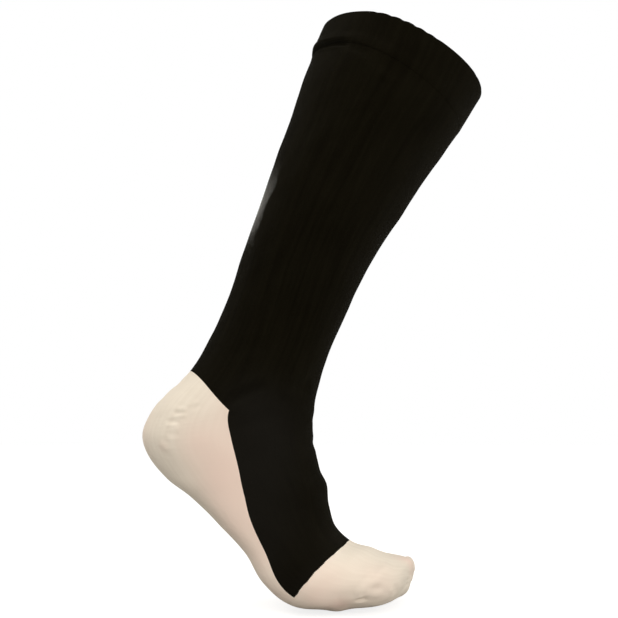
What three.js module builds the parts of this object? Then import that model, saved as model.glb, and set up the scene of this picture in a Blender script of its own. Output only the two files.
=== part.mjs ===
// An over-the-calf dress sock as it stands on a raised heel, hollow and open at the top.
// Millimetres, +X to the toes, +Y to the big-toe side, +Z up, origin in the middle of the rim.
import * as THREE from "three";

// Knit and seams.
const WALL = 1.5;
const SEAM_GAP = 0.3;

// The turned welt stands proud of the leg by this much on the outside.
const WELT_PROUD = 0.8;
const WELT_EDGE_ROUND = 1.0;

// Where each piece ends. Distances run down the sock from the rim, shares go round it from the
// middle of the back and sole (0) past the little-toe side to the middle of the shin and instep (0.5).
const WELT_END_AT_BACK = 25;
const WELT_END_AT_FRONT = 33;
const HEEL_TOP_AT_BACK = 268;
const HEEL_TOP_AT_SIDE = 297;
const HEEL_TOP_CURVE = 2;
const HEEL_END = 350;
const TOE_START_AT_SOLE = 438;
const TOE_START_AT_TOP = 418;
const TOE_START_CURVE = 1.8;

// The toe closes over a blunt round end of this length.
const TOE_END_LENGTH = 28;
const TOE_END_BLUNTNESS = 2.8;

// How finely the cloth is faceted: columns round the sock, and rows down each piece.
const SOLE_COLUMN_COUNT = 16;
const INSTEP_COLUMN_COUNT = 28;
const LEG_ROW_COUNT = 20;
const HEEL_ROW_COUNT = 10;
const SOLE_ROW_COUNT = 9;
const TOE_ROW_COUNT = 9;

// One row for each section, from the rim down the leg, round the heel and out to the toes.
// back is the end of the section at the calf, heel or sole, front the end at the shin or instep.
// midY is the section's middle across, halfWidth half its width, egg moves the widest place to the
// front, squareBack and squareFront flatten the two ends, rake sets the big-toe side further along
// the sock, and soleShare is the share of the way round at which the ivory sole ends.
const COLUMNS = [
  "name", "backX", "backZ", "frontX", "frontZ", "midY", "halfWidth",
  "egg", "squareBack", "squareFront", "rake", "soleShare",
];
const ROWS = [
  ["rim", -58, 27, 61, -27, 0, 61, -0.05, -0.03, 0, 0.01, 0.25],
  ["welt", -66, 7, 48, -48, -2, 60, -0.03, -0.02, 0, 0.02, 0.25],
  ["calf top", -76, -21, 34, -69, -4, 58, -0.04, 0, 0, 0, 0.25],
  ["calf", -85, -51, 17, -93, -7, 54.5, -0.05, 0, 0, 0, 0.25],
  ["calf low", -96, -83, 1, -118, -10, 51, -0.05, 0, 0, 0, 0.25],
  ["mid leg", -107, -118, -17, -145, -13, 46, -0.05, 0, 0, 0, 0.25],
  ["lower leg", -117, -148, -31, -170, -16, 41, -0.04, 0, 0, 0, 0.25],
  ["above ankle", -129, -186, -46, -202, -19, 36, -0.02, 0, 0, 0, 0.25],
  ["ankle top", -141, -215, -58, -231, -22, 34, 0, 0, 0, 0, 0.25],
  ["heel top", -154, -237, -64, -251, -24, 35, 0, 0, 0, 0, 0.245],
  ["heel high", -182, -268, -67, -275, -25, 36, 0, 0, 0, 0, 0.25],
  ["heel", -187, -281, -67, -284, -25, 36, 0, 0, 0, 0, 0.262],
  ["heel low", -170, -312, -62, -306, -25, 35, 0, 0.02, 0, 0, 0.25],
  ["heel end", -151, -326, -58, -317, -25, 35, -0.04, 0.04, 0, 0, 0.235],
  ["waist", -133, -342, -56, -331, -25, 36, -0.08, 0.05, 0, 0, 0.22],
  ["instep", -114, -361, -51, -346, -25, 39, -0.1, 0.06, 0, 0, 0.2],
  ["ball", -100, -382, -40, -356, -25, 44, -0.1, 0.06, 0, 0.1, 0.187],
  ["ball front", -79, -396, -28, -360, -25, 47, -0.08, 0.06, 0.02, 0.2, 0.172],
  ["toe joints", -50, -398, -17, -365, -24, 46, -0.05, 0.06, 0.03, 0.3, 0.17],
  ["toes", -25, -398, -5, -368, -22, 43, 0, 0.05, 0.03, 0.45, 0.17],
  ["toe end", -1, -396, 5, -366, -18, 38, 0, 0.04, 0.03, 0.52, 0.17],
];

const SECTIONS = ROWS.map((row) => Object.fromEntries(COLUMNS.map((name, i) => [name, row[i]])));

// The distance of each section down the sock: the mean of the way along its two ends.
const SECTION_AT = [0];
for (let i = 1; i < SECTIONS.length; i++) {
  const here = SECTIONS[i];
  const last = SECTIONS[i - 1];
  const atBack = Math.hypot(here.backX - last.backX, here.backZ - last.backZ);
  const atFront = Math.hypot(here.frontX - last.frontX, here.frontZ - last.frontZ);
  SECTION_AT.push(SECTION_AT[i - 1] + (atBack + atFront) / 2);
}
const SOCK_END = SECTION_AT.at(-1);
const TOE_END_START = SOCK_END - TOE_END_LENGTH;

// The slope of one column at a section, from the parabola through it and its neighbours.
function slopeAt(column, i) {
  const value = (k) => SECTIONS[k][column];
  const last = SECTIONS.length - 1;
  if (i === 0) return (value(1) - value(0)) / (SECTION_AT[1] - SECTION_AT[0]);
  if (i === last) return (value(last) - value(last - 1)) / (SECTION_AT[last] - SECTION_AT[last - 1]);
  const before = SECTION_AT[i] - SECTION_AT[i - 1];
  const after = SECTION_AT[i + 1] - SECTION_AT[i];
  const slopeBefore = (value(i) - value(i - 1)) / before;
  const slopeAfter = (value(i + 1) - value(i)) / after;
  return (slopeBefore * after + slopeAfter * before) / (before + after);
}

const SLOPES = {};
for (const column of COLUMNS.slice(1)) {
  SLOPES[column] = SECTIONS.map((_, i) => slopeAt(column, i));
}

// All columns at a distance down the sock, on smooth cubics through the rows.
function sectionAt(along) {
  const last = SECTIONS.length - 1;
  let i = 0;
  while (i < last - 1 && along > SECTION_AT[i + 1]) i++;
  const step = SECTION_AT[i + 1] - SECTION_AT[i];
  const t = (along - SECTION_AT[i]) / step;
  const section = {};
  for (const column of COLUMNS.slice(1)) {
    const a = SECTIONS[i][column];
    const b = SECTIONS[i + 1][column];
    const slopeA = SLOPES[column][i] * step;
    const slopeB = SLOPES[column][i + 1] * step;
    section[column] =
      a * (1 + 2 * t) * (1 - t) ** 2 + slopeA * t * (1 - t) ** 2 +
      b * t * t * (3 - 2 * t) - slopeB * t * t * (1 - t);
  }
  return section;
}

function sectionMiddle(section) {
  return new THREE.Vector3(
    (section.backX + section.frontX) / 2,
    section.midY,
    (section.backZ + section.frontZ) / 2,
  );
}

// The way the sock runs at a distance down it.
function directionAt(along) {
  const reach = 1;
  const before = sectionMiddle(sectionAt(Math.max(0, along - reach)));
  const after = sectionMiddle(sectionAt(Math.min(SOCK_END, along + reach)));
  return after.sub(before).normalize();
}

// How much of its full size a section has: 1 up to the toe end, then down to 0 round the end.
function toeEndSize(along) {
  const share = Math.max(0, (along - TOE_END_START) / TOE_END_LENGTH);
  return Math.max(0, 1 - share ** TOE_END_BLUNTNESS) ** (1 / TOE_END_BLUNTNESS);
}

// A point on the cloth's outer face.
function facePoint(along, round) {
  const section = sectionAt(along);
  const angle = 2 * Math.PI * round;
  const atBack = (1 + Math.cos(angle)) / 2;
  const square = section.squareBack * atBack + section.squareFront * (1 - atBack);
  const lengthways = (Math.cos(angle) - square * Math.cos(3 * angle)) / (1 - square);
  const sideways = (Math.sin(angle) + square * Math.sin(3 * angle)) / (1 - square);
  const size = toeEndSize(along);
  const back = new THREE.Vector3(section.backX, section.midY, section.backZ);
  const front = new THREE.Vector3(section.frontX, section.midY, section.frontZ);
  const middle = sectionMiddle(section);
  const depth = front.clone().sub(back);
  const direction = directionAt(along);
  const across = new THREE.Vector3(0, 1, 0).addScaledVector(direction, -direction.y).normalize();
  across.addScaledVector(direction, section.rake);
  return middle
    .addScaledVector(depth, size * (section.egg * Math.sin(angle) ** 2 - lengthways / 2))
    .addScaledVector(across, -size * section.halfWidth * sideways);
}

// The outward direction of the cloth's face.
function faceNormal(along, round) {
  if (along > SOCK_END - 0.01) return directionAt(SOCK_END);
  const stepAlong = Math.min(0.5, (SOCK_END - along) / 2);
  const stepRound = 0.002;
  const start = Math.max(0, along - stepAlong);
  const lengthways = facePoint(along + stepAlong, round).sub(facePoint(start, round));
  const sideways = facePoint(along, round + stepRound).sub(facePoint(along, round - stepRound));
  return lengthways.cross(sideways).normalize();
}

// A point moved out from the cloth's face by a distance, or in where it is below 0.
function clothPoint([along, round], out) {
  return facePoint(along, round).addScaledVector(faceNormal(along, round), out);
}

// A closed body from its points and its faces, with the faces turned to point outwards.
function closedBody(points, quads) {
  const triangles = [];
  for (const [a, b, c, d] of quads) {
    if (a !== b && b !== c && a !== c) triangles.push([a, b, c]);
    if (a !== c && c !== d && a !== d) triangles.push([a, c, d]);
  }
  let volume = 0;
  for (const [a, b, c] of triangles) volume += points[a].dot(points[b].clone().cross(points[c]));
  if (volume < 0) triangles.forEach((triangle) => triangle.reverse());
  const geometry = new THREE.BufferGeometry();
  geometry.setFromPoints(points);
  geometry.setIndex(triangles.flat());
  geometry.computeVertexNormals();
  return geometry;
}

// A wall of cloth over a grid of places on the face. A tube's columns go all the way round,
// and a tip is a last row whose places all meet in one point.
function clothWall(grid, { tube = false, tip = false } = {}) {
  const rows = grid.length;
  const columns = grid[0].length;
  const points = [];
  const index = [];
  for (const out of [0, -WALL]) {
    index.push(grid.map((row, i) => {
      if (tip && i === rows - 1) {
        points.push(clothPoint(row[0], out));
        return row.map(() => points.length - 1);
      }
      return row.map((place) => points.push(clothPoint(place, out)) - 1);
    }));
  }
  const [outer, inner] = index;
  const quads = [];
  const lastColumn = tube ? columns : columns - 1;
  for (let i = 0; i < rows - 1; i++) {
    for (let j = 0; j < lastColumn; j++) {
      const k = (j + 1) % columns;
      quads.push([outer[i][j], outer[i][k], outer[i + 1][k], outer[i + 1][j]]);
      quads.push([inner[i][j], inner[i + 1][j], inner[i + 1][k], inner[i][k]]);
    }
    if (!tube) {
      const end = columns - 1;
      quads.push([outer[i][0], outer[i + 1][0], inner[i + 1][0], inner[i][0]]);
      quads.push([outer[i][end], inner[i][end], inner[i + 1][end], outer[i + 1][end]]);
    }
  }
  for (let j = 0; j < lastColumn; j++) {
    const k = (j + 1) % columns;
    const end = rows - 1;
    quads.push([outer[0][j], inner[0][j], inner[0][k], outer[0][k]]);
    if (!tip) quads.push([outer[end][j], outer[end][k], inner[end][k], inner[end][j]]);
  }
  return closedBody(points, quads);
}

function mix(a, b, share) {
  return a + (b - a) * share;
}

// Evenly spaced shares from 0 to 1.
function shares(count) {
  return Array.from({ length: count + 1 }, (_, i) => i / count);
}

// How far round a place is to the front: 0 at the back and sole, 1 at the shin and instep.
function shareAtFront(round) {
  return (1 - Math.cos(2 * Math.PI * round)) / 2;
}

// The columns that run down the sock: onSole goes from one side of the sole to the other, from
// -1 to 1, and onInstep from the little-toe side over the instep to the big-toe side, from 0 to 1.
const SOLE_COLUMNS = shares(SOLE_COLUMN_COUNT).map((share) => ({ onSole: 2 * share - 1 }));
const INSTEP_COLUMNS = shares(INSTEP_COLUMN_COUNT).map((share) => ({ onInstep: share }));
const ALL_COLUMNS = [...SOLE_COLUMNS.slice(0, -1), ...INSTEP_COLUMNS.slice(0, -1)];

// The place round the sock of a column at a distance down it, kept clear of the sole's edge.
function placeOf(column, along, clearance = 0) {
  const edge = sectionAt(along).soleShare;
  if ("onSole" in column) return column.onSole * (edge - clearance);
  return mix(edge + clearance, 1 - edge - clearance, column.onInstep);
}

// Distances down the sock at which the pieces end, on each column.
function weltEndOn(column) {
  const place = placeOf(column, WELT_END_AT_BACK);
  return mix(WELT_END_AT_BACK, WELT_END_AT_FRONT, shareAtFront(place));
}

function heelTopOn(column) {
  const onHeel = "onSole" in column ? Math.abs(column.onSole) : 1;
  return mix(HEEL_TOP_AT_BACK, HEEL_TOP_AT_SIDE, onHeel ** HEEL_TOP_CURVE);
}

function toeStartOn(column) {
  const place = placeOf(column, TOE_START_AT_SOLE);
  return mix(TOE_START_AT_SOLE, TOE_START_AT_TOP, shareAtFront(place) ** TOE_START_CURVE);
}

// Half the seam gap, as a share of the way round at a place.
function halfGapRound(along, round) {
  const step = 0.01;
  const length = facePoint(along, round + step).distanceTo(facePoint(along, round - step));
  return (SEAM_GAP * step) / length;
}

// Half the seam gap, as a distance down the sock on a column.
function halfGapAlong(along, column) {
  const place = placeOf(column, along);
  const length = facePoint(along + 1, place).distanceTo(facePoint(along - 1, place));
  return SEAM_GAP / length;
}

// The place on a column at a share of the way down a piece that ends between two distances.
function placeOn(column, start, end, share, { sideSeams = false } = {}) {
  const from = start + halfGapAlong(start, column);
  const to = end - halfGapAlong(end, column);
  const along = mix(from, to, share);
  const edge = sectionAt(along).soleShare;
  return [along, placeOf(column, along, sideSeams ? halfGapRound(along, edge) : 0)];
}

// The turned welt: a closed profile carried round the rim, folded over in a half circle at its top.
function weltGeometry() {
  const foldRadius = (WALL + WELT_PROUD) / 2;
  const foldMiddle = (WELT_PROUD - WALL) / 2;
  const fold = [-90, -45, 0, 45, 90].map((degrees) => {
    const angle = THREE.MathUtils.degToRad(degrees);
    return [foldRadius * (1 - Math.cos(angle)), foldMiddle + foldRadius * Math.sin(angle)];
  });
  const rings = ALL_COLUMNS.map((column) => {
    const low = weltEndOn(column) - SEAM_GAP / 2;
    const profile = [
      ...fold,
      [low / 2, WELT_PROUD],
      [low - WELT_EDGE_ROUND, WELT_PROUD],
      [low, 0],
      [low, -WALL],
      [low / 2, -WALL],
    ];
    return profile.map(([along, out]) => clothPoint([along, placeOf(column, along)], out));
  });
  const across = rings[0].length;
  const quads = [];
  for (let i = 0; i < rings.length; i++) {
    const next = (i + 1) % rings.length;
    for (let j = 0; j < across; j++) {
      const k = (j + 1) % across;
      quads.push([i * across + j, next * across + j, next * across + k, i * across + k]);
    }
  }
  return closedBody(rings.flat(), quads);
}

function legGeometry() {
  const grid = shares(LEG_ROW_COUNT).map((down) => ALL_COLUMNS.map((column) => (
    placeOn(column, weltEndOn(column), heelTopOn(column), down)
  )));
  return clothWall(grid, { tube: true });
}

function heelGeometry() {
  const grid = shares(HEEL_ROW_COUNT).map((down) => SOLE_COLUMNS.map((column) => (
    placeOn(column, heelTopOn(column), HEEL_END, down, { sideSeams: true })
  )));
  return clothWall(grid);
}

function soleGeometry() {
  const grid = shares(SOLE_ROW_COUNT).map((down) => SOLE_COLUMNS.map((column) => (
    placeOn(column, HEEL_END, toeStartOn(column), down, { sideSeams: true })
  )));
  return clothWall(grid);
}

// The instep has the heel's rows and then the sole's, so that its sides follow theirs.
function instepGeometry() {
  const besideHeel = shares(HEEL_ROW_COUNT).map((down) => (
    mix(0, (HEEL_END - HEEL_TOP_AT_SIDE) / (TOE_START_AT_SOLE - HEEL_TOP_AT_SIDE), down)
  ));
  const besideSole = shares(SOLE_ROW_COUNT).map((down) => mix(besideHeel.at(-1), 1, down));
  const grid = [...besideHeel, ...besideSole.slice(1)].map((down) => INSTEP_COLUMNS.map((column) => (
    placeOn(column, HEEL_TOP_AT_SIDE, toeStartOn(column), down, { sideSeams: true })
  )));
  return clothWall(grid);
}

function toeGeometry() {
  const grid = shares(TOE_ROW_COUNT).map((down) => ALL_COLUMNS.map((column) => {
    const [start, place] = placeOn(column, toeStartOn(column), SOCK_END, 0);
    return [mix(start, SOCK_END, Math.sin((Math.PI / 2) * down)), place];
  }));
  return clothWall(grid, { tube: true, tip: true });
}

const BLACK_KNIT = { color: 0x16130f, roughness: 0.85, metalness: 0 };
const IVORY_KNIT = { color: 0xddc9b4, roughness: 0.9, metalness: 0 };

const PIECES = [
  ["welt_band", weltGeometry, BLACK_KNIT],
  ["leg", legGeometry, BLACK_KNIT],
  ["instep", instepGeometry, BLACK_KNIT],
  ["heel", heelGeometry, IVORY_KNIT],
  ["sole", soleGeometry, IVORY_KNIT],
  ["toe_cap", toeGeometry, IVORY_KNIT],
];

const sock = new THREE.Group();
for (const [name, makeGeometry, finish] of PIECES) {
  const mesh = new THREE.Mesh(makeGeometry(), new THREE.MeshStandardMaterial(finish));
  mesh.name = name;
  sock.add(mesh);
}

export default sock;
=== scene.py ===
"""An over-the-calf dress sock on a raised heel: black leg and instep, ivory heel, sole and toe.

The knit is built over the same table of sections as the CAD frame, with its creases, folds and the
nicks in its rim listed one by one. Sizes are millimetres up to the studio, and meshes, the camera
and the studio are in metres. A place on the cloth is a distance down the sock from its rim (along)
and
a share of the way round it (round, or place): 0 at the back and sole, 0.25 on the side that faces
the camera, 0.5 at the shin and instep, and 0.75 or -0.25 on the far side.
"""

import math

import bpy
import numpy as np
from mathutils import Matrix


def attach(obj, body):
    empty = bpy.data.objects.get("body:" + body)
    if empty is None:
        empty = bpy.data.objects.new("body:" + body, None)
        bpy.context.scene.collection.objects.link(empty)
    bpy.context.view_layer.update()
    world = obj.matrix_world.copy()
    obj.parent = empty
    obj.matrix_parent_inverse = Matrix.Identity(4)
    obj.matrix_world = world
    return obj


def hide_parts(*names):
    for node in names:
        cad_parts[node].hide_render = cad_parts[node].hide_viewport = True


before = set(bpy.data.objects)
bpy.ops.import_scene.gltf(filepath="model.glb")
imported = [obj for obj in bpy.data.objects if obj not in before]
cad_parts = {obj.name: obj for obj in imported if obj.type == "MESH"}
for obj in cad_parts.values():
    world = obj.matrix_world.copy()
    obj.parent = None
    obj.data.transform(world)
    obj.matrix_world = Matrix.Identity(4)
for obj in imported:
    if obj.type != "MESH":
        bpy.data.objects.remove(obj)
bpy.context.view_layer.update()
MM = 0.001

# ---------------------------------------------------------------- camera

CAMERA_AT = (-0.070, -0.700, -0.278)
CAMERA_AIM = (-0.070, 0.0, -0.190)
CAMERA_LENS = 55.3


def aimed(thing, at, aim):
    """Puts a camera or lamp at a place and turns it to look at another."""
    way = np.subtract(aim, at)
    thing.location = at
    tilt = math.atan2(math.hypot(way[0], way[1]), -way[2])
    thing.rotation_euler = (tilt, 0.0, math.atan2(-way[0], way[1]))
    bpy.context.scene.collection.objects.link(thing)


lens = bpy.data.cameras.new("camera")
lens.lens = CAMERA_LENS
camera = bpy.data.objects.new("camera", lens)
aimed(camera, CAMERA_AT, CAMERA_AIM)
bpy.context.scene.camera = camera

# ---------------------------------------------------------------- the sock's form

SECTION_COLUMNS = (
    "backX", "backZ", "frontX", "frontZ", "midY", "halfWidth",
    "egg", "squareBack", "squareFront", "rake", "soleShare",
)
SECTIONS = np.array([
    (-58, 27, 61, -27, 0, 61, -0.05, -0.03, 0, 0.01, 0.25),
    (-66, 7, 48, -48, -2, 60, -0.03, -0.02, 0, 0.02, 0.25),
    (-76, -21, 34, -69, -4, 58, -0.04, 0, 0, 0, 0.25),
    (-85, -51, 17, -93, -7, 54.5, -0.05, 0, 0, 0, 0.25),
    (-96, -83, 1, -118, -10, 51, -0.05, 0, 0, 0, 0.25),
    (-107, -118, -17, -145, -13, 46, -0.05, 0, 0, 0, 0.25),
    (-117, -148, -31, -170, -16, 41, -0.04, 0, 0, 0, 0.25),
    (-129, -186, -46, -202, -19, 36, -0.02, 0, 0, 0, 0.25),
    (-141, -215, -58, -231, -22, 34, 0, 0, 0, 0, 0.25),
    (-154, -237, -64, -251, -24, 35, 0, 0, 0, 0, 0.245),
    (-182, -268, -67, -275, -25, 36, 0, 0, 0, 0, 0.25),
    (-187, -281, -67, -284, -25, 36, 0, 0, 0, 0, 0.262),
    (-170, -312, -62, -306, -25, 35, 0, 0.02, 0, 0, 0.25),
    (-151, -326, -58, -317, -25, 35, -0.04, 0.04, 0, 0, 0.235),
    (-133, -342, -56, -331, -25, 36, -0.08, 0.05, 0, 0, 0.22),
    (-114, -361, -51, -346, -25, 39, -0.1, 0.06, 0, 0, 0.2),
    (-100, -382, -40, -356, -25, 44, -0.1, 0.06, 0, 0.1, 0.187),
    (-79, -396, -28, -360, -25, 47, -0.08, 0.06, 0.02, 0.2, 0.172),
    (-50, -398, -17, -365, -24, 46, -0.05, 0.06, 0.03, 0.3, 0.17),
    (-25, -398, -5, -368, -22, 43, 0, 0.05, 0.03, 0.45, 0.17),
    (-1, -396, 5, -366, -18, 38, 0, 0.04, 0.03, 0.52, 0.17),
], float)

# Where each piece ends, down the sock.
WELT_END_AT_BACK = 25
WELT_END_AT_FRONT = 33
HEEL_TOP_AT_BACK = 270.5
HEEL_TOP_AT_SIDE = 297
HEEL_TOP_CURVE = 2.3
HEEL_END = 350
TOE_START_AT_SOLE = 440.5
TOE_START_AT_TOP = 418
TOE_START_CURVE = 1.8
TOE_END_LENGTH = 28
TOE_END_BLUNTNESS = 2.8

# The knit is thinner than the wall that stands for it in the frame.
KNIT_THICKNESS = 0.9

SECTION_STEPS = np.diff(SECTIONS, axis=0)
BACK_STEPS = np.hypot(SECTION_STEPS[:, 0], SECTION_STEPS[:, 1])
FRONT_STEPS = np.hypot(SECTION_STEPS[:, 2], SECTION_STEPS[:, 3])
SECTION_AT = np.concatenate([[0], np.cumsum((BACK_STEPS + FRONT_STEPS) / 2)])
SOCK_END = SECTION_AT[-1]
TOE_END_START = SOCK_END - TOE_END_LENGTH


def section_slopes():
    """How fast each column changes down the sock, at each row."""
    gaps = np.diff(SECTION_AT)[:, None]
    slopes = SECTION_STEPS / gaps
    before, after = gaps[:-1], gaps[1:]
    inner = (slopes[:-1] * after + slopes[1:] * before) / (before + after)
    return np.concatenate([slopes[:1], inner, slopes[-1:]])


SECTION_SLOPES = section_slopes()


def section_at(along):
    """Every column at these distances down the sock, on smooth cubics through the rows."""
    i = np.clip(np.searchsorted(SECTION_AT, along) - 1, 0, len(SECTIONS) - 2)
    step = (SECTION_AT[i + 1] - SECTION_AT[i])[..., None]
    t = (along - SECTION_AT[i])[..., None] / step
    values = (
        SECTIONS[i] * (1 + 2 * t) * (1 - t) ** 2
        + SECTION_SLOPES[i] * step * t * (1 - t) ** 2
        + SECTIONS[i + 1] * t * t * (3 - 2 * t)
        - SECTION_SLOPES[i + 1] * step * t * t * (1 - t)
    )
    return dict(zip(SECTION_COLUMNS, np.moveaxis(values, -1, 0)))


def unit(v):
    return v / np.linalg.norm(v, axis=-1, keepdims=True)


def middle_of(s):
    middle_x = (s["backX"] + s["frontX"]) / 2
    middle_z = (s["backZ"] + s["frontZ"]) / 2
    return np.stack([middle_x, s["midY"], middle_z], -1)


def direction_at(along):
    """The way the sock runs at these distances down it."""
    before = middle_of(section_at(np.maximum(0, along - 1)))
    after = middle_of(section_at(np.minimum(SOCK_END, along + 1)))
    return unit(after - before)


def toe_end_size(along):
    """How large a section is for its row: 1 down to the toe's round end, and 0 at its tip."""
    share = np.clip((along - TOE_END_START) / TOE_END_LENGTH, 0, 1)
    return (1 - share ** TOE_END_BLUNTNESS) ** (1 / TOE_END_BLUNTNESS)


def face_point(along, place):
    """Points of the cloth's plain outer face."""
    s = section_at(along)
    angle = 2 * math.pi * place
    at_back = (1 + np.cos(angle)) / 2
    square = s["squareBack"] * at_back + s["squareFront"] * (1 - at_back)
    lengthways = (np.cos(angle) - square * np.cos(3 * angle)) / (1 - square)
    sideways = (np.sin(angle) + square * np.sin(3 * angle)) / (1 - square)
    size = toe_end_size(along)
    zero = np.zeros_like(size)
    depth = np.stack([s["frontX"] - s["backX"], zero, s["frontZ"] - s["backZ"]], -1)
    direction = direction_at(along)
    across = unit(np.array([0.0, 1.0, 0.0]) - direction * direction[..., 1:2])
    across = across + direction * s["rake"][..., None]
    along_depth = size * (s["egg"] * np.sin(angle) ** 2 - lengthways / 2)
    along_width = -size * s["halfWidth"] * sideways
    return middle_of(s) + depth * along_depth[..., None] + across * along_width[..., None]


STEP_ALONG = 0.5
SHORTEST_STEP_ALONG = 1e-4
STEP_ROUND = 0.002
TIP_REACH = 0.01


def face_normal(along, place):
    """The way out of the cloth, from short steps to each side of a place."""
    step = np.clip((SOCK_END - along) / 2, SHORTEST_STEP_ALONG, STEP_ALONG)
    start = np.maximum(0, along - step)
    lengthways = face_point(along + step, place) - face_point(start, place)
    sideways = face_point(along, place + STEP_ROUND) - face_point(along, place - STEP_ROUND)
    normal = np.cross(lengthways, sideways)
    size = np.linalg.norm(normal, axis=-1, keepdims=True)
    at_tip = (along > SOCK_END - TIP_REACH)[..., None]
    return np.where(at_tip, direction_at(along), normal / np.maximum(size, 1e-9))
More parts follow.
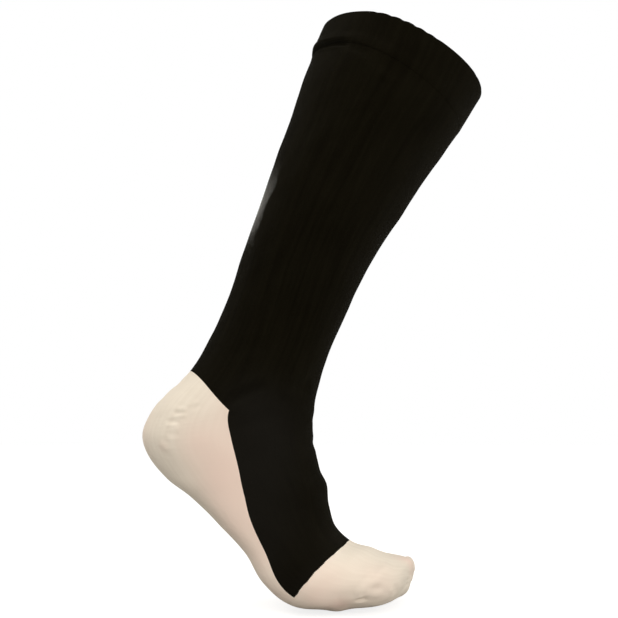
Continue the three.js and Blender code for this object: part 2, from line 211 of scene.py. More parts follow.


# ---------------------------------------------------------------- creases

# Each is a soft line on the cloth from one place to another, bowed sideways by a distance: lift is
# how far its middle stands out, below 0 for a trough, and width how wide it is across.
CREASE_COLUMNS = ("along1", "round1", "along2", "round2", "bow", "lift", "width")
CREASES = np.array([
    # tucked under the welt's edge, deep at the back and fading to the front
    (27, 0.010, 28.2, 0.158, -0.4, -2.8, 2.0),
    (28, -0.150, 27, -0.010, 0.4, -2.2, 2.0),
    (27.6, 0.125, 33, 0.215, 0, -0.8, 3.0),
    (31, 0.190, 36, 0.320, 1, -0.35, 4.5),
    (29, -0.260, 27, -0.100, 0, -1.2, 2.4),
    (36, -0.420, 31, -0.240, -1, -0.4, 4.0),
    (17.5, -0.010, 19, 0.060, 0, -0.5, 1.6),
    # small folds below the welt
    (41, 0.240, 45, 0.274, 0, 0.45, 2.6),
    (62, 0.266, 80, 0.224, 1.5, 0.35, 3.4),
    (48, -0.262, 43, -0.226, 0, 0.4, 2.8),
    # the back of the heel: nearly level ridges, each with a sharper trough under it
    (298.8, 0.136, 297.6, 0.158, 0.3, 0.5, 1.5),
    (301.3, 0.132, 300.4, 0.160, 0.3, -0.45, 1.3),
    (303.2, 0.150, 302, 0.168, 0, 0.4, 1.3),
    (307, 0.124, 306.8, 0.160, -0.5, -0.5, 1.5),
    (309.2, 0.134, 308.6, 0.158, 0, 0.3, 1.6),
    (314.4, 0.136, 313.8, 0.166, 0.3, -0.25, 1.7),
    (311.6, 0.136, 311, 0.162, 0, 0.15, 1.8),
    (296.4, 0.160, 292.6, 0.178, 0, 0.3, 1.5),
    (298, 0.170, 293.6, 0.186, 0.4, -0.2, 1.6),
    (319, 0.116, 325, 0.140, 0.6, 0.4, 2.4),
    (296, -0.158, 297.5, -0.108, -1.2, -0.8, 1.8),
    (301, -0.170, 302.5, -0.120, 1.4, -0.7, 1.7),
    (307, -0.150, 308.5, -0.112, -1, -0.5, 2.0),
    (293, -0.150, 294, -0.120, 0, 0.5, 2.0),
    (319, -0.150, 329, -0.118, -2.0, -0.5, 3.0),
    (283, 0.050, 279, -0.060, 2, -0.4, 3.0),
    (291, 0.035, 290, -0.045, -1, -0.35, 2.6),
    # the side of the ankle, from the heel's corner forward and up
    (294, 0.236, 275, 0.292, -2.0, -2.2, 3.0),
    (299, 0.252, 284, 0.330, 2.5, 1.3, 5.5),
    (309, 0.280, 318, 0.380, 2.0, 0.5, 9.0),
    (271, 0.360, 268, 0.420, 1.5, -1.0, 3.6),
    (259, 0.400, 262, 0.450, -1.0, -0.5, 4.0),
    (252, 0.200, 249, 0.250, 1.0, -0.9, 4.0),
    (343, 0.360, 341, 0.410, -1.5, -0.6, 5.0),
    (278, 0.330, 280, 0.372, 0, 0.9, 3.6),
    (294, -0.240, 276, -0.300, 2.0, -1.8, 3.2),
    (300, -0.258, 286, -0.334, -2.5, 1.1, 5.5),
    (270, -0.420, 272, -0.356, -1.5, -0.6, 4.2),
    (261, -0.452, 258, -0.392, 1.0, -0.5, 4.0),
    (251, -0.262, 254, -0.206, -1.0, -0.4, 4.5),
    (342, -0.420, 344, -0.352, 1.5, -0.6, 5.0),
    (311, -0.280, 320, -0.372, -2.0, 0.4, 9.0),
    # the bend between shin and instep
    (297, 0.455, 299, 0.545, 1.0, -0.9, 3.4),
    (308, 0.440, 306, 0.552, -1.0, -0.7, 3.6),
    (318, 0.462, 319, 0.530, 0.8, -0.6, 3.2),
    (303, 0.430, 302, 0.520, 0, 0.5, 3.6),
    (345, 0.450, 348, 0.548, 0, -0.5, 5.0),
    (362, 0.440, 364, 0.560, 0, 0.2, 8.0),
    # the leg: long faint folds down the calf and shin
    (70, 0.215, 150, 0.180, 5.0, 0.35, 5.0),
    (60, 0.262, 132, 0.248, -4.0, -0.3, 5.0),
    (96, 0.335, 178, 0.322, 4.0, 0.3, 6.0),
    (150, 0.270, 236, 0.262, -3.0, -0.3, 5.5),
    (172, 0.130, 240, 0.140, 3.0, 0.3, 5.0),
    (64, -0.205, 140, -0.182, -4.0, 0.35, 5.5),
    (88, -0.330, 168, -0.318, 4.0, -0.3, 6.0),
    (150, -0.262, 232, -0.250, 3.0, -0.3, 5.5),
    (178, -0.120, 240, -0.134, -3.0, 0.3, 5.0),
    (48, 0.030, 104, 0.046, 2.0, -0.25, 6.0),
    (52, -0.058, 120, -0.040, -2.0, 0.25, 6.0),
    (208, 0.470, 246, 0.486, 2.0, -0.3, 5.0),
    # the sole's edge and arch
    (352, 0.130, 384, 0.118, 3.0, -0.4, 6.0),
    (350, -0.120, 386, -0.108, -3.0, -0.4, 6.0),
    (392, 0.060, 398, -0.070, 2.0, -0.35, 5.0),
    # the toe: a short dark pocket by the little toe, with ridges and soft hollows over the toes
    (471.8, 0.188, 476.8, 0.213, 0.3, -1.3, 1.4),
    (473.5, 0.238, 483.5, 0.245, 0.4, 0.8, 2.4),
    (473.5, 0.266, 481, 0.274, 0, -0.1, 2.6),
    (470, 0.222, 475, 0.374, 1.0, 1.0, 3.0),
    (474.5, 0.370, 472.5, 0.436, 0, 0.5, 3.2),
    (480, 0.300, 489, 0.350, 0.5, -1.0, 5.0),
    (461, 0.384, 464, 0.416, 0, -0.45, 4.0),
    (476, 0.404, 481, 0.442, 0, -0.55, 4.2),
    (485, 0.250, 488, 0.264, 0, 0.6, 2.4),
    (488, 0.290, 491, 0.200, 0, -0.7, 2.6),
    (460, 0.455, 474, 0.470, 1.0, -0.3, 5.0),
    (461, 0.548, 478, 0.560, -1.0, 0.5, 5.0),
    (462, 0.600, 484, 0.588, 1.0, -0.5, 4.4),
    (466, 0.660, 482, 0.640, 1.0, 0.6, 5.0),
    (470, -0.196, 477, -0.224, -0.5, -1.6, 2.1),
    (474, -0.242, 483, -0.250, 0, 0.7, 2.6),
    (471, -0.232, 476, -0.350, -1.0, 0.6, 3.4),
    (480, -0.296, 489, -0.330, 0, -0.6, 4.6),
    (446, 0.196, 460, 0.200, 1.0, 0.6, 6.0),
    (440, 0.300, 458, 0.330, 2.0, -0.3, 5.0),
    (486, 0.060, 488, -0.060, 0, -0.4, 4.0),
], float)

# Soft rounds that stand out of the form, or in: a place on the cloth, how wide and how far.
ROUND_COLUMNS = ("along", "round", "width", "lift")
ROUNDS = np.array([
    # the toe's end: the big toe above, a nick, and the small toes below
    (485, 0.490, 8, 1.8), (496.4, -0.120, 4.5, -2.0),
    (495.5, 0.250, 4, -0.9), (494.6, 0.040, 6, 1.4),
    # under the ball of the foot
    (464, 0.100, 7.5, 1.8), (463, -0.120, 8, 1.2),
], float)


CREASE_STRETCHES = 16
# A crease's height shrinks to nothing at its two ends, and a shallow band runs along each side.
CREASE_TAPER = 0.6
SIDE_BAND_DEPTH = 0.28
SIDE_BAND_AT = 1.9
SIDE_BAND_WIDTH = 0.5
CREASE_REACH = 3


def crease_line(crease):
    """A crease's centre line on the cloth, as points, and its lift and width."""
    c = dict(zip(CREASE_COLUMNS, crease))
    t = np.linspace(0, 1, CREASE_STRETCHES + 1)
    along = c["along1"] + (c["along2"] - c["along1"]) * t
    place = c["round1"] + (c["round2"] - c["round1"]) * t
    line = face_point(along, place)
    way = unit(line[-1] - line[0])
    middle = slice(CREASE_STRETCHES // 2, CREASE_STRETCHES // 2 + 1)
    out = face_normal(along[middle], place[middle])[0]
    side = unit(np.cross(way, out))
    bow = c["bow"] * 4 * t * (1 - t)
    return line + side * bow[:, None], c["lift"], c["width"]


CREASE_LINES = [crease_line(crease) for crease in CREASES]


def crease_lift(points):
    """How far the creases move each point out of the face."""
    lift = np.zeros(len(points))
    for line, height, width in CREASE_LINES:
        low = line.min(0) - CREASE_REACH * width
        high = line.max(0) + CREASE_REACH * width
        near = np.flatnonzero(((points > low) & (points < high)).all(1))
        if not len(near):
            continue
        at = points[near]
        best = np.full(len(near), np.inf)
        share = np.zeros(len(near))
        for k in range(CREASE_STRETCHES):
            way = line[k + 1] - line[k]
            t = np.clip(((at - line[k]) @ way) / (way @ way), 0, 1)
            gap = np.linalg.norm(at - line[k] - t[:, None] * way, axis=1)
            closer = gap < best
            best[closer] = gap[closer]
            share[closer] = ((k + t) / CREASE_STRETCHES)[closer]
        taper = np.clip(4 * share * (1 - share), 0, 1) ** CREASE_TAPER
        x = best / width
        side_band = np.exp(-((x - SIDE_BAND_AT) ** 2) / SIDE_BAND_WIDTH)
        profile = np.exp(-x * x) - SIDE_BAND_DEPTH * side_band
        lift[near] += height * profile * taper
    return lift


def nearness(points, spot):
    """1 at a spot on the cloth, falling softly to 0 beyond its width."""
    at = face_point(np.array([spot["along"]]), np.array([spot["round"]]))
    gap = np.linalg.norm(points - at, axis=1) / spot["width"]
    return np.exp(-gap * gap)


def round_lift(points):
    """How far the soft rounds move each point out of the face."""
    lift = np.zeros(len(points))
    for row in ROUNDS:
        spot = dict(zip(ROUND_COLUMNS, row))
        lift += spot["lift"] * nearness(points, spot)
    return lift


# Slow unevenness of a stretched knit: its size, how often it repeats in a millimetre down the sock
# and once round it, and the angle at which it starts.
WAVES = (
    (0.10, 0.013, 3, 0.4), (0.08, 0.021, -5, 1.9), (0.06, 0.034, 7, 4.1),
    (0.06, 0.017, -11, 2.6), (0.04, 0.049, 13, 5.2),
)


def cloth_lift(along, place, points):
    """How far the cloth stands out of its plain form, at points of the face."""
    lift = crease_lift(points) + round_lift(points)
    for size, down, times, start in WAVES:
        lift += size * np.sin(2 * math.pi * (down * along + times * place) + start)
    return lift


# Where the knit is stretched, its colour turns towards another. This is partly the skin showing
# through the thin knit and partly painted light and shade: darker and pinker on the ivory, with
# painted shade low on the heel's side, the sole's edge and the toe, and paler on the black, with
# painted light over the instep and ankle. A place on the cloth, how wide and how much.
STRETCH_AND_PAINTED_LIGHT_COLUMNS = ("along", "round", "width", "amount")
STRETCH_AND_PAINTED_LIGHT = np.array([
    # the heel's side and the sole's edge, with painted shade on the ivory
    (320, 0.205, 16, 0.7), (333, 0.232, 18, 0.7), (345, 0.210, 15, 0.7), (362, 0.200, 14, 0.6),
    (380, 0.195, 14, 0.6), (404, 0.185, 12, 0.5), (322, 0.124, 4, 0.3), (314, 0.000, 16, 0.4),
    (322, -0.200, 17, 0.7), (341, -0.212, 16, 0.8), (362, -0.195, 14, 0.6), (382, -0.180, 14, 0.6),
    (404, -0.165, 12, 0.5),
    # the toe: low at the side, over the ball and at the tip
    (446, 0.206, 11, 0.6), (443, 0.280, 15, 0.5), (464, 0.162, 8, 0.9), (489, 0.484, 9, 0.8),
    (478, 0.300, 18, 0.4), (430, 0.130, 16, 0.4), (462, -0.190, 12, 0.7), (445, -0.260, 15, 0.5),
    (486, -0.420, 10, 0.5),
    # the black instep and ankle, with painted light on the black
    (302, 0.300, 26, 0.8), (322, 0.330, 24, 0.7), (352, 0.270, 24, 0.7), (386, 0.250, 26, 0.5),
    (302, -0.300, 26, 0.8), (322, -0.330, 24, 0.7), (352, -0.270, 24, 0.7), (386, -0.250, 26, 0.5),
], float)


def stretch_and_painted_light_at(points):
    """How far the stretched knit's colour, partly painted light and shade, shows at points of the
    face, from 0 to 1.
    """
    plain_share = np.ones(len(points))
    for row in STRETCH_AND_PAINTED_LIGHT:
        spot = dict(zip(STRETCH_AND_PAINTED_LIGHT_COLUMNS, row))
        plain_share *= 1 - spot["amount"] * nearness(points, spot)
    return 1 - plain_share


# ---------------------------------------------------------------- grids on the cloth

SOLE_COLUMN_COUNT = 120
INSTEP_COLUMN_COUNT = 108
LEG_ROW_COUNT = 124
LEG_ROW_CROWDING = 1.3  # above 1, the rows are closer under the welt
HEEL_ROW_COUNT = 84
SOLE_ROW_COUNT = 72
TOE_ROW_COUNT = 76

# On the sole's columns, -1 and 1 are its two edges. On the instep's, 0 and 1 are.
SOLE_COLUMNS = np.linspace(-1, 1, SOLE_COLUMN_COUNT + 1)
INSTEP_COLUMNS = np.linspace(0, 1, INSTEP_COLUMN_COUNT + 1)
TUBE_COLUMN_COUNT = SOLE_COLUMN_COUNT + INSTEP_COLUMN_COUNT + 1
# The heel's share of the foot's length up to the toe.
HEEL_SHARE = (HEEL_END - HEEL_TOP_AT_SIDE) / (TOE_START_AT_SOLE - HEEL_TOP_AT_SIDE)


def sole_place(on_sole, along):
    return on_sole * section_at(along)["soleShare"]


def instep_place(on_instep, along):
    edge = section_at(along)["soleShare"]
    return edge + (1 - 2 * edge) * on_instep


def tube_place(along):
    """Places on all the columns of a tube, the sole's and then the instep's, at these distances."""
    on_sole = sole_place(SOLE_COLUMNS[:-1], along[..., :SOLE_COLUMN_COUNT])
    on_instep = instep_place(INSTEP_COLUMNS, along[..., SOLE_COLUMN_COUNT:])
    return np.concatenate([on_sole, on_instep], -1)


def share_at_front(place):
    """0 at the back and sole, and 1 at the shin and instep."""
    return (1 - np.cos(2 * math.pi * place)) / 2


def mix(a, b, share):
    return a + (b - a) * share


def welt_end(place):
    return mix(WELT_END_AT_BACK, WELT_END_AT_FRONT, share_at_front(place))


# How unevenly the ivory knit takes over from the black: size, repeats round, and starting angle.
KNIT_STEPS = ((0.22, 17, 0.0), (0.10, 41, 1.3))


def knit_step(place):
    """The ragged half millimetre of the toe's border."""
    angle = 2 * math.pi * place
    return sum(size * np.sin(angle * times + start) for size, times, start in KNIT_STEPS)


def toe_start(place):
    start = mix(TOE_START_AT_SOLE, TOE_START_AT_TOP, share_at_front(place) ** TOE_START_CURVE)
    return start + knit_step(place)


def heel_top(on_sole):
    return mix(HEEL_TOP_AT_BACK, HEEL_TOP_AT_SIDE, np.abs(on_sole) ** HEEL_TOP_CURVE)


def rows_between(start, end, shares):
    """A grid's distances down the sock: a row for each share, on columns from start to end."""
    return start[None, :] + (end - start)[None, :] * shares[:, None]


def leg_grid():
    start = welt_end(tube_place(np.full(TUBE_COLUMN_COUNT, WELT_END_AT_BACK, float)))
    at_instep = np.full(len(INSTEP_COLUMNS), HEEL_TOP_AT_SIDE, float)
    end = np.concatenate([heel_top(SOLE_COLUMNS[:-1]), at_instep])
    shares = np.linspace(0, 1, LEG_ROW_COUNT + 1) ** LEG_ROW_CROWDING
    along = rows_between(start, end, shares)
    return along, tube_place(along)


def instep_grid():
    """The instep, whose rows are the heel's and then the sole's, so that its sides follow theirs."""
    n = len(INSTEP_COLUMNS)
    start = np.full(n, HEEL_TOP_AT_SIDE, float)
    end = toe_start(instep_place(INSTEP_COLUMNS, np.full(n, TOE_START_AT_SOLE)))
    beside_heel = np.linspace(0, HEEL_SHARE, HEEL_ROW_COUNT + 1)
    beside_sole = np.linspace(HEEL_SHARE, 1, SOLE_ROW_COUNT + 1)
    along = rows_between(start, end, np.concatenate([beside_heel, beside_sole[1:]]))
    return along, instep_place(INSTEP_COLUMNS, along)


def heel_sole_grid():
    n = len(SOLE_COLUMNS)
    end = toe_start(sole_place(SOLE_COLUMNS, np.full(n, TOE_START_AT_SOLE)))
    turn = np.full(n, mix(HEEL_TOP_AT_SIDE, end[-1], HEEL_SHARE))
    heel = rows_between(heel_top(SOLE_COLUMNS), turn, np.linspace(0, 1, HEEL_ROW_COUNT + 1))
    sole = rows_between(turn, end, np.linspace(0, 1, SOLE_ROW_COUNT + 1))
    along = np.concatenate([heel, sole[1:]])
    return along, sole_place(SOLE_COLUMNS, along)


def toe_grid():
    """The toe, whose columns stay where they start round it, and whose rows close up at its tip."""
    place = tube_place(np.full(TUBE_COLUMN_COUNT, TOE_START_AT_SOLE))
    shares = np.sin(np.linspace(0, math.pi / 2, TOE_ROW_COUNT + 1))
    along = rows_between(toe_start(place), np.full(len(place), SOCK_END), shares)
    return along, np.repeat(place[None, :], len(shares), 0)


# ---------------------------------------------------------------- meshes

# The knit's loops: how many wales go round the sock, and a course's height.
WALES_ROUND = 320
COURSE = 0.8
SHARP_EDGE = math.radians(50)
WELD_DIGITS = 4


def welded(grids):
    """One surface of several grids, joined where their points meet.

    Returns its points, their places on the cloth, its faces, and each face corner's wale and course.
    """
    points, along, place, faces = [], [], [], []
    count = 0
    for a, p in grids:
        rows, columns = a.shape
        index = np.arange(count, count + rows * columns).reshape(rows, columns)
        points.append(face_point(a.ravel(), p.ravel()))
        along.append(a.ravel())
        place.append(p.ravel())
        around = (index[:-1, :-1], index[:-1, 1:], index[1:, 1:], index[1:, :-1])
        faces.append(np.stack(around, -1).reshape(-1, 4))
        count += rows * columns
    points, along, place, faces = (np.concatenate(x) for x in (points, along, place, faces))
    knit = np.stack([place * WALES_ROUND, along / COURSE], -1)
    rounded = np.round(points, WELD_DIGITS)
    _, first, same = np.unique(rounded, axis=0, return_index=True, return_inverse=True)
    return points[first], along[first], place[first], same.ravel()[faces], knit[faces]


def knit_piece(name, points, faces, knit):
    """A mesh object of these faces, with each corner's wale and course as its UV map."""
    mesh = bpy.data.meshes.new(name)
    mesh.from_pydata((points * MM).tolist(), [], faces)
    layer = mesh.uv_layers.new(name="knit")
    layer.data.foreach_set("uv", np.array(knit, np.float32).ravel())
    mesh.shade_smooth()
    mesh.set_sharp_from_angle(angle=SHARP_EDGE)
    piece = bpy.data.objects.new(name, mesh)
    bpy.context.scene.collection.objects.link(piece)
    return piece


def cloth(name, grids):
    """A shell of knit over grids on the face, with its creases and an inner side."""
    points, along, place, faces, corners = welded(grids)
    outwards = face_normal(along, place)
    outer = points + outwards * cloth_lift(along, place, points)[:, None]
    inner = outer - outwards * KNIT_THICKNESS
    return shell(name, outer, inner, faces, corners, stretch_and_painted_light_at(points))


def shell(name, outer, inner, faces, corners, stretch_and_painted_light):
    """A closed wall between two sides, with a rim along every open edge."""
    count = len(outer)
    polygons, knit = [], []
    edges = {}  # an edge of one face only keeps its ends and their places on the knit
    for face, at in zip(faces.tolist(), corners.tolist()):
        keep = [k for k in range(4) if face[k] != face[k - 1]]
        if len(keep) < 3:
            continue
        around = [face[k] for k in keep]
        uv = [at[k] for k in keep]
        polygons.append(around)
        knit += uv
        polygons.append([v + count for v in reversed(around)])
        knit += list(reversed(uv))
        for k, v in enumerate(around):
            w = around[(k + 1) % len(around)]
            edge = (min(v, w), max(v, w))
            if edge in edges:
                edges[edge] = None
            else:
                edges[edge] = (v, w, uv[k], uv[(k + 1) % len(around)])
    for edge in edges.values():
        if edge is None:
            continue
        v, w, uv_v, uv_w = edge
        polygons.append([w, v, v + count, w + count])
        knit += [uv_w, uv_v, uv_v, uv_w]
    piece = knit_piece(name, np.concatenate([outer, inner]), polygons, knit)
    # each point's share of the stretched colour, which is partly painted light and shade
    spots = piece.data.attributes.new("stretch_and_painted_light", "FLOAT", "POINT")
    spots.data.foreach_set("value", np.tile(stretch_and_painted_light, 2).astype(np.float32))
    piece.data.update()
    return piece


# ---------------------------------------------------------------- the turned welt

WELT_COLUMN_COUNT = 480
WELT_THICKNESS = 1.8
WELT_PROUD_AT_BACK = 1.1
WELT_PROUD_AT_FRONT = 0.15
WELT_PROUD_CURVE = 0.55

# Rows up the inside and down the outside, at these shares of the band's length.
INNER_SHARES = np.linspace(1, 0.14, 8)
OUTER_SHARES = np.linspace(0.22, 0.95, 30)
# Rows over the fold at the rim, and those that follow it down the outside.
FOLD_ANGLES = np.radians(np.linspace(-90, 90, 13))
FOLD_AT = 0.25
ROWS_UNDER_FOLD = (1.6, 2.4, 3.4, 4.6)
# The lower edge rolls under to the leg: rows at a share of the band's length and of how far it
# stands out, that drop as they go in.
EDGE_ROLL = ((0.97, 0.94), (0.988, 0.62), (1.0, 0.1), (1.0, -0.5))
EDGE_ROLL_DROP = 0.3
# The band swells a little above its lower edge, most at the back.
SWELL_ABOVE_EDGE = 4
SWELL_WIDTH = 3.2
SWELL = 0.15
SWELL_AT_BACK = 0.9

# The rim is smooth but for shallow nicks between small scallops: a place round it and how deep.
NICKS = (
    (0.192, 0.5), (0.222, 0.75), (0.247, 0.8), (0.272, 0.8), (0.293, 0.65), (0.313, 0.45),
    (0.060, 0.25), (0.420, 0.3), (0.468, 0.25), (-0.450, 0.3), (-0.372, 0.4), (-0.318, 0.5),
    (-0.294, 0.7), (-0.268, 0.75), (-0.246, 0.6), (-0.221, 0.75), (-0.194, 0.5), (-0.040, 0.3),
)
NICK_WIDTH = 0.0055
NICK_REACH = 2.5


def nick(place):
    """How far down the rim is from its highest."""
    depth = np.zeros_like(place)
    for at, deep in NICKS:
        depth += deep * np.exp(-((place - at) / NICK_WIDTH) ** 2)
    return depth


def welt_proud(place):
    """How far the welt stands out of the leg, most at the back."""
    return mix(WELT_PROUD_AT_BACK, WELT_PROUD_AT_FRONT, share_at_front(place) ** WELT_PROUD_CURVE)


def welt_rows(place):
    """The band's section, from its inner edge over the rim to its lower edge, at places round it.

    Returns each row's distances down the sock, and how far it stands out of the leg's face.
    """
    low, dip, proud = welt_end(place), nick(place), welt_proud(place)
    radius = WELT_THICKNESS / 2
    rows = [(low * share, proud - WELT_THICKNESS) for share in INNER_SHARES]
    for angle in FOLD_ANGLES:
        down = FOLD_AT + radius * (1 - math.cos(angle))
        out = proud - radius + radius * math.sin(angle)
        rows.append((down + dip * math.exp(-down / NICK_REACH), out))
    rows += [(down + dip * math.exp(-down / NICK_REACH), proud) for down in ROWS_UNDER_FOLD]
    rows += [(low * share, proud) for share in OUTER_SHARES]
    rows += [(low * share + (1 - out) * EDGE_ROLL_DROP, proud * out) for share, out in EDGE_ROLL]
    return np.array([along for along, _ in rows]), np.array([out for _, out in rows])


def make_welt():
    place = -0.5 + np.arange(WELT_COLUMN_COUNT) / WELT_COLUMN_COUNT
    along, out = welt_rows(place)
    n, m = along.shape
    around = np.repeat(place[None, :], n, 0)
    base = face_point(along.ravel(), around.ravel())
    outwards = face_normal(along.ravel(), around.ravel())
    lift = cloth_lift(along.ravel(), around.ravel(), base)
    at_back = 1 - share_at_front(around.ravel())
    above_edge = (along - welt_end(place)[None, :]).ravel() + SWELL_ABOVE_EDGE
    size = SWELL + SWELL_AT_BACK * at_back ** 2
    swell = np.exp(-(above_edge / SWELL_WIDTH) ** 2) * size * (out.ravel() > 0)
    points = base + outwards * (out.ravel() + lift + swell)[:, None]
    faces, knit = [], []
    for i in range(n):
        k = (i + 1) % n
        for j in range(m):
            q = (j + 1) % m
            faces.append([i * m + j, k * m + j, k * m + q, i * m + q])
            wale = place[j] * WALES_ROUND
            next_wale = (place[j] + 1 / m) * WALES_ROUND
            course = along[i, j] / COURSE
            next_course = (along[k, j] if k else along[i, j] + 1) / COURSE
            knit += [(wale, course), (wale, next_course),
                     (next_wale, next_course), (next_wale, course)]
    return knit_piece("welt", points, faces, knit)


welt = make_welt()
leg_knit = cloth("leg_knit", [leg_grid(), instep_grid()])
heel_sole_knit = cloth("heel_sole_knit", [heel_sole_grid()])
toe_knit = cloth("toe_knit", [toe_grid()])

# ---------------------------------------------------------------- materials

LOOP_LEAN = 1.1  # courses by which a loop's legs lean to the wale's middle
RIB_WALES = 3
PATCH_SCALE = 38.0
FUZZ_SCALE = 900.0
STREAK_PER_WALE = 0.24
STREAK_PER_COURSE = 0.011
# What share of the colour's unevenness is streaks down the knit, patches and its loops, whose tops
# are painted lighter as a painted highlight.
STREAK_TONE = 0.55
PATCH_TONE = 0.25
LOOP_HIGHLIGHT_TONE = 0.2
DARK_TONE_AT = 0.25
LIGHT_TONE_AT = 0.75
ROUGHNESS_RANGE = 0.12
FUZZ_OF_STITCH = 0.4
BUMP_STRENGTH = 0.6
BUMP_DISTANCE = 0.001


class Nodes:
    """A material's node tree, built a node at a time."""

    def __init__(self, name):
        self.material = bpy.data.materials.new(name)
        self.material.use_nodes = True
        self.tree = self.material.node_tree
        self.shader = self.tree.nodes["Principled BSDF"]

    def add(self, kind, settings=None, **inputs):
        """A new node. Its inputs go by name, or i and a number, and take a value or an output."""
        node = self.tree.nodes.new(kind)
        for key, value in (settings or {}).items():
            setattr(node, key, value)
        for key, value in inputs.items():
            numbered = key[0] == "i" and key[1:].isdigit()
            socket = node.inputs[int(key[1:]) if numbered else key]
            if hasattr(value, "is_linked"):
                self.tree.links.new(value, socket)
            else:
                socket.default_value = value
        return node

    def math(self, operation, a, b=0.0, c=0.0):
        return self.add("ShaderNodeMath", {"operation": operation}, i0=a, i1=b, i2=c).outputs[0]

    def ramp(self, value, *stops):
        """The colour at a value, between stops of a position and a colour."""
        node = self.add("ShaderNodeValToRGB", i0=value)
        elements = node.color_ramp.elements
        while len(elements) < len(stops):
            elements.new(0.5)
        for element, (at, colour) in zip(elements, stops):
            element.position = at
            element.color = (*colour, 1.0)
        return node.outputs["Color"]

    def link(self, output, socket):
        self.tree.links.new(output, self.shader.inputs[socket])


def knit_material(name, dark, light, stretched_colour_and_painted_light, roughness, specular, stitch, rib, sheen):
    """A fine plain knit: rows of loops, in faint ribs, with the yarn's own unevenness.

    Its colour goes from dark to light, and to the stretched colour where the knit is stretched: that
    colour is partly the skin showing through and partly painted light and shade. stitch and rib are
    the heights of the relief, and sheen is its weight, roughness and colour.
    """
    m = Nodes(name)
    m.shader.inputs["Specular IOR Level"].default_value = specular
    m.shader.inputs["Sheen Weight"].default_value = sheen[0]
    m.shader.inputs["Sheen Roughness"].default_value = sheen[1]
    m.shader.inputs["Sheen Tint"].default_value = (*sheen[2], 1.0)
    uv = m.add("ShaderNodeUVMap", {"uv_map": "knit"}).outputs[0]
    split = m.add("ShaderNodeSeparateXYZ", i0=uv)
    wale, course = split.outputs[0], split.outputs[1]
    # each loop is a V
    across = m.math("ABSOLUTE", m.math("SUBTRACT", m.math("FRACT", wale), 0.5))
    lean = m.math("ADD", course, m.math("MULTIPLY", across, LOOP_LEAN))
    loops = m.math("ABSOLUTE", m.math("SINE", m.math("MULTIPLY", lean, math.pi)))
    legs = m.math("SINE", m.math("MULTIPLY", across, 2 * math.pi))
    height = m.math("MULTIPLY", loops, legs)
    ribs = m.math("ABSOLUTE", m.math("SINE", m.math("MULTIPLY", wale, math.pi / RIB_WALES)))
    where = m.add("ShaderNodeTexCoord").outputs["Object"]
    patches = m.add("ShaderNodeTexNoise", Vector=where, Scale=PATCH_SCALE, Detail=2.0).outputs[0]
    streak_at = m.add("ShaderNodeCombineXYZ", i0=m.math("MULTIPLY", wale, STREAK_PER_WALE),
                      i1=m.math("MULTIPLY", course, STREAK_PER_COURSE)).outputs[0]
    streaks = m.add("ShaderNodeTexNoise", Vector=streak_at, Scale=1.0, Detail=3.0).outputs[0]
    fuzz = m.add("ShaderNodeTexNoise", Vector=where, Scale=FUZZ_SCALE, Detail=2.0).outputs[0]
    tone = m.math("ADD", m.math("MULTIPLY", streaks, STREAK_TONE),
                  m.math("MULTIPLY", patches, PATCH_TONE))
    # the loops' tops are painted lighter: a painted highlight on the knit's relief
    tone = m.math("ADD", tone, m.math("MULTIPLY", height, LOOP_HIGHLIGHT_TONE))
    yarn = m.ramp(tone, (DARK_TONE_AT, dark), (LIGHT_TONE_AT, light))
    # mixes in the stretched colour, partly painted light and shade, where the knit is stretched
    stretch_and_painted_light = m.add("ShaderNodeAttribute", {"attribute_name": "stretch_and_painted_light"}).outputs["Fac"]
    colour = m.add("ShaderNodeMix", {"data_type": "RGBA"}, i0=stretch_and_painted_light)
    m.tree.links.new(yarn, colour.inputs["A"])
    colour.inputs["B"].default_value = (*stretched_colour_and_painted_light, 1.0)
    m.link(colour.outputs["Result"], "Base Color")
    smoothest = roughness - ROUGHNESS_RANGE / 2
    m.link(m.math("MULTIPLY_ADD", streaks, ROUGHNESS_RANGE, smoothest), "Roughness")
    relief = m.math("MULTIPLY", height, stitch)
    relief = m.math("ADD", relief, m.math("MULTIPLY", ribs, rib))
    relief = m.math("ADD", relief, m.math("MULTIPLY", fuzz, stitch * FUZZ_OF_STITCH))
    bump = m.add("ShaderNodeBump", Height=relief, Strength=BUMP_STRENGTH, Distance=BUMP_DISTANCE)
    m.link(bump.outputs[0], "Normal")
    return m.material


# the black's stretched colour is paler: partly painted light over the instep and ankle
black = knit_material(
    "black_knit",
    dark=(0.0026, 0.0019, 0.0007), light=(0.0078, 0.0065, 0.0033), stretched_colour_and_painted_light=(0.0105, 0.0093, 0.0074),
    roughness=0.95, specular=0.015, stitch=0.35, rib=0.10, sheen=(0.02, 0.4, (0.9, 0.86, 0.72)),
)
# the ivory's stretched colour is darker and pinker: partly painted shade low on the heel, sole and
# toe
ivory = knit_material(
    "ivory_knit",
    dark=(0.76, 0.67, 0.555), light=(0.865, 0.785, 0.67), stretched_colour_and_painted_light=(0.81, 0.625, 0.53),
    roughness=0.9, specular=0.1, stitch=0.12, rib=0.0, sheen=(0.05, 0.5, (1.0, 0.97, 0.92)),
)
for piece, material, slot in (
    (welt, black, "black_knit"), (leg_knit, black, "black_knit"),
    (heel_sole_knit, ivory, "ivory_knit"), (toe_knit, ivory, "ivory_knit"),
):
    piece.data.materials.append(material)
    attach(piece, "root")

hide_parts("welt_band")
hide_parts("leg", "instep")
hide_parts("heel", "sole")
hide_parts("toe_cap")

# ---------------------------------------------------------------- studio

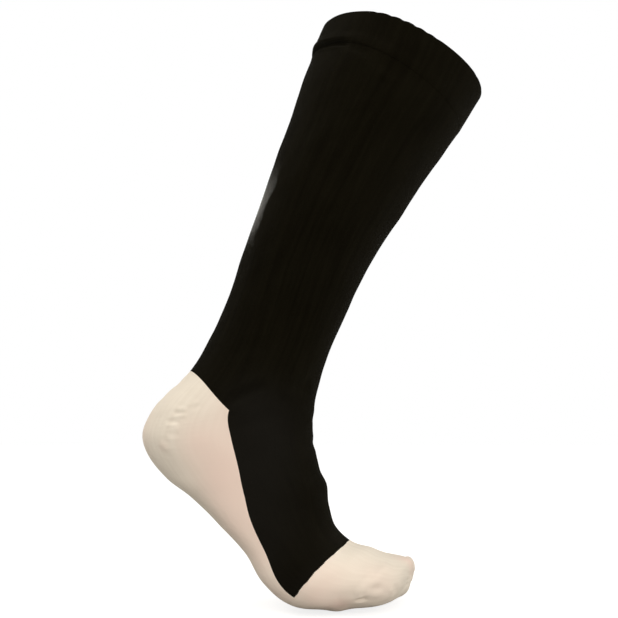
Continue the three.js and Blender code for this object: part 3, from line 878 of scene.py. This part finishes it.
FLOOR_AT = -0.3995
FLOOR_REACH = 6.0
FLOOR_COLOUR = (0.40, 0.395, 0.385, 1.0)
FLOOR_GLOW = 0.80
WORLD_COLOUR = (1.0, 0.985, 0.955, 1.0)
WORLD_STRENGTH = 0.74
WHITE = (1.0, 1.0, 1.0, 1.0)
SOCK_MIDDLE = (-0.08, 0.0, -0.22)
CALF_BACK = (-0.103, -0.010, -0.118)


def lamp(name, at, aim, size, power, colour, spread=180):
    """A square soft light, its spread in degrees."""
    light = bpy.data.lights.new(name, "AREA")
    light.shape = "SQUARE"
    light.size = size
    light.energy = power
    light.color = colour
    light.spread = math.radians(spread)
    aimed(bpy.data.objects.new(name, light), at, aim)


lamp("key", (-0.75, -0.35, 0.80), SOCK_MIDDLE, size=0.9, power=6.2, colour=(1.0, 0.975, 0.92))
lamp("fill", (0.75, -1.00, 0.05), SOCK_MIDDLE, size=0.9, power=8.4, colour=(1.0, 0.985, 0.95))
# a narrow light from behind, that catches the back of the calf
lamp("glint", (-0.54, 0.71, 0.08), CALF_BACK, size=0.02, power=0.029, colour=(1.0, 0.98, 0.92),
     spread=4)


def node_with(tree, kind, **values):
    """A new node with these input values."""
    node = tree.nodes.new(kind)
    for name, value in values.items():
        node.inputs[name].default_value = value
    return node


def seen_or_mirrored(tree):
    """1 for rays that see a surface directly, in a mirror or through glass."""
    path = tree.nodes.new("ShaderNodeLightPath")
    total = path.outputs["Is Camera Ray"]
    for name in ("Is Glossy Ray", "Is Transmission Ray"):
        largest = tree.nodes.new("ShaderNodeMath")
        largest.operation = "MAXIMUM"
        tree.links.new(total, largest.inputs[0])
        tree.links.new(path.outputs[name], largest.inputs[1])
        total = largest.outputs[0]
    return total


def shown_to_camera(tree, otherwise, seen):
    """A shader that is one thing for light on the object, and another where it is seen."""
    choose = tree.nodes.new("ShaderNodeMixShader")
    tree.links.new(seen_or_mirrored(tree), choose.inputs[0])
    tree.links.new(otherwise.outputs[0], choose.inputs[1])
    tree.links.new(seen.outputs[0], choose.inputs[2])
    return choose


world = bpy.data.worlds.new("studio")
world.use_nodes = True
bpy.context.scene.world = world
world_tree = world.node_tree
plain = world_tree.nodes["Background"]
plain.inputs["Color"].default_value = WORLD_COLOUR
plain.inputs["Strength"].default_value = WORLD_STRENGTH
white = node_with(world_tree, "ShaderNodeBackground", Color=WHITE, Strength=1.0)
backdrop = shown_to_camera(world_tree, plain, white)
world_tree.links.new(backdrop.outputs[0], world_tree.nodes["World Output"].inputs["Surface"])

# The floor glows only where it is seen, so that it is white without lighting the sock.
pale = bpy.data.materials.new("pale_floor")
pale.use_nodes = True
floor_tree = pale.node_tree
floor_tree.nodes.remove(floor_tree.nodes["Principled BSDF"])
diffuse = node_with(floor_tree, "ShaderNodeBsdfDiffuse", Color=FLOOR_COLOUR)
glow = node_with(floor_tree, "ShaderNodeEmission", Color=WHITE, Strength=FLOOR_GLOW)
dark = node_with(floor_tree, "ShaderNodeEmission", Strength=0.0)
lit = shown_to_camera(floor_tree, dark, glow)
both = floor_tree.nodes.new("ShaderNodeAddShader")
floor_tree.links.new(diffuse.outputs[0], both.inputs[0])
floor_tree.links.new(lit.outputs[0], both.inputs[1])
floor_tree.links.new(both.outputs[0], floor_tree.nodes["Material Output"].inputs["Surface"])

floor_mesh = bpy.data.meshes.new("floor")
floor_corners = [(x * FLOOR_REACH, y * FLOOR_REACH, FLOOR_AT)
                 for x, y in ((-1, -1), (1, -1), (1, 1), (-1, 1))]
floor_mesh.from_pydata(floor_corners, [], [(0, 1, 2, 3)])
floor_mesh.materials.append(pale)
floor = bpy.data.objects.new("floor", floor_mesh)
bpy.context.scene.collection.objects.link(floor)

bpy.context.scene.view_settings.view_transform = "Standard"
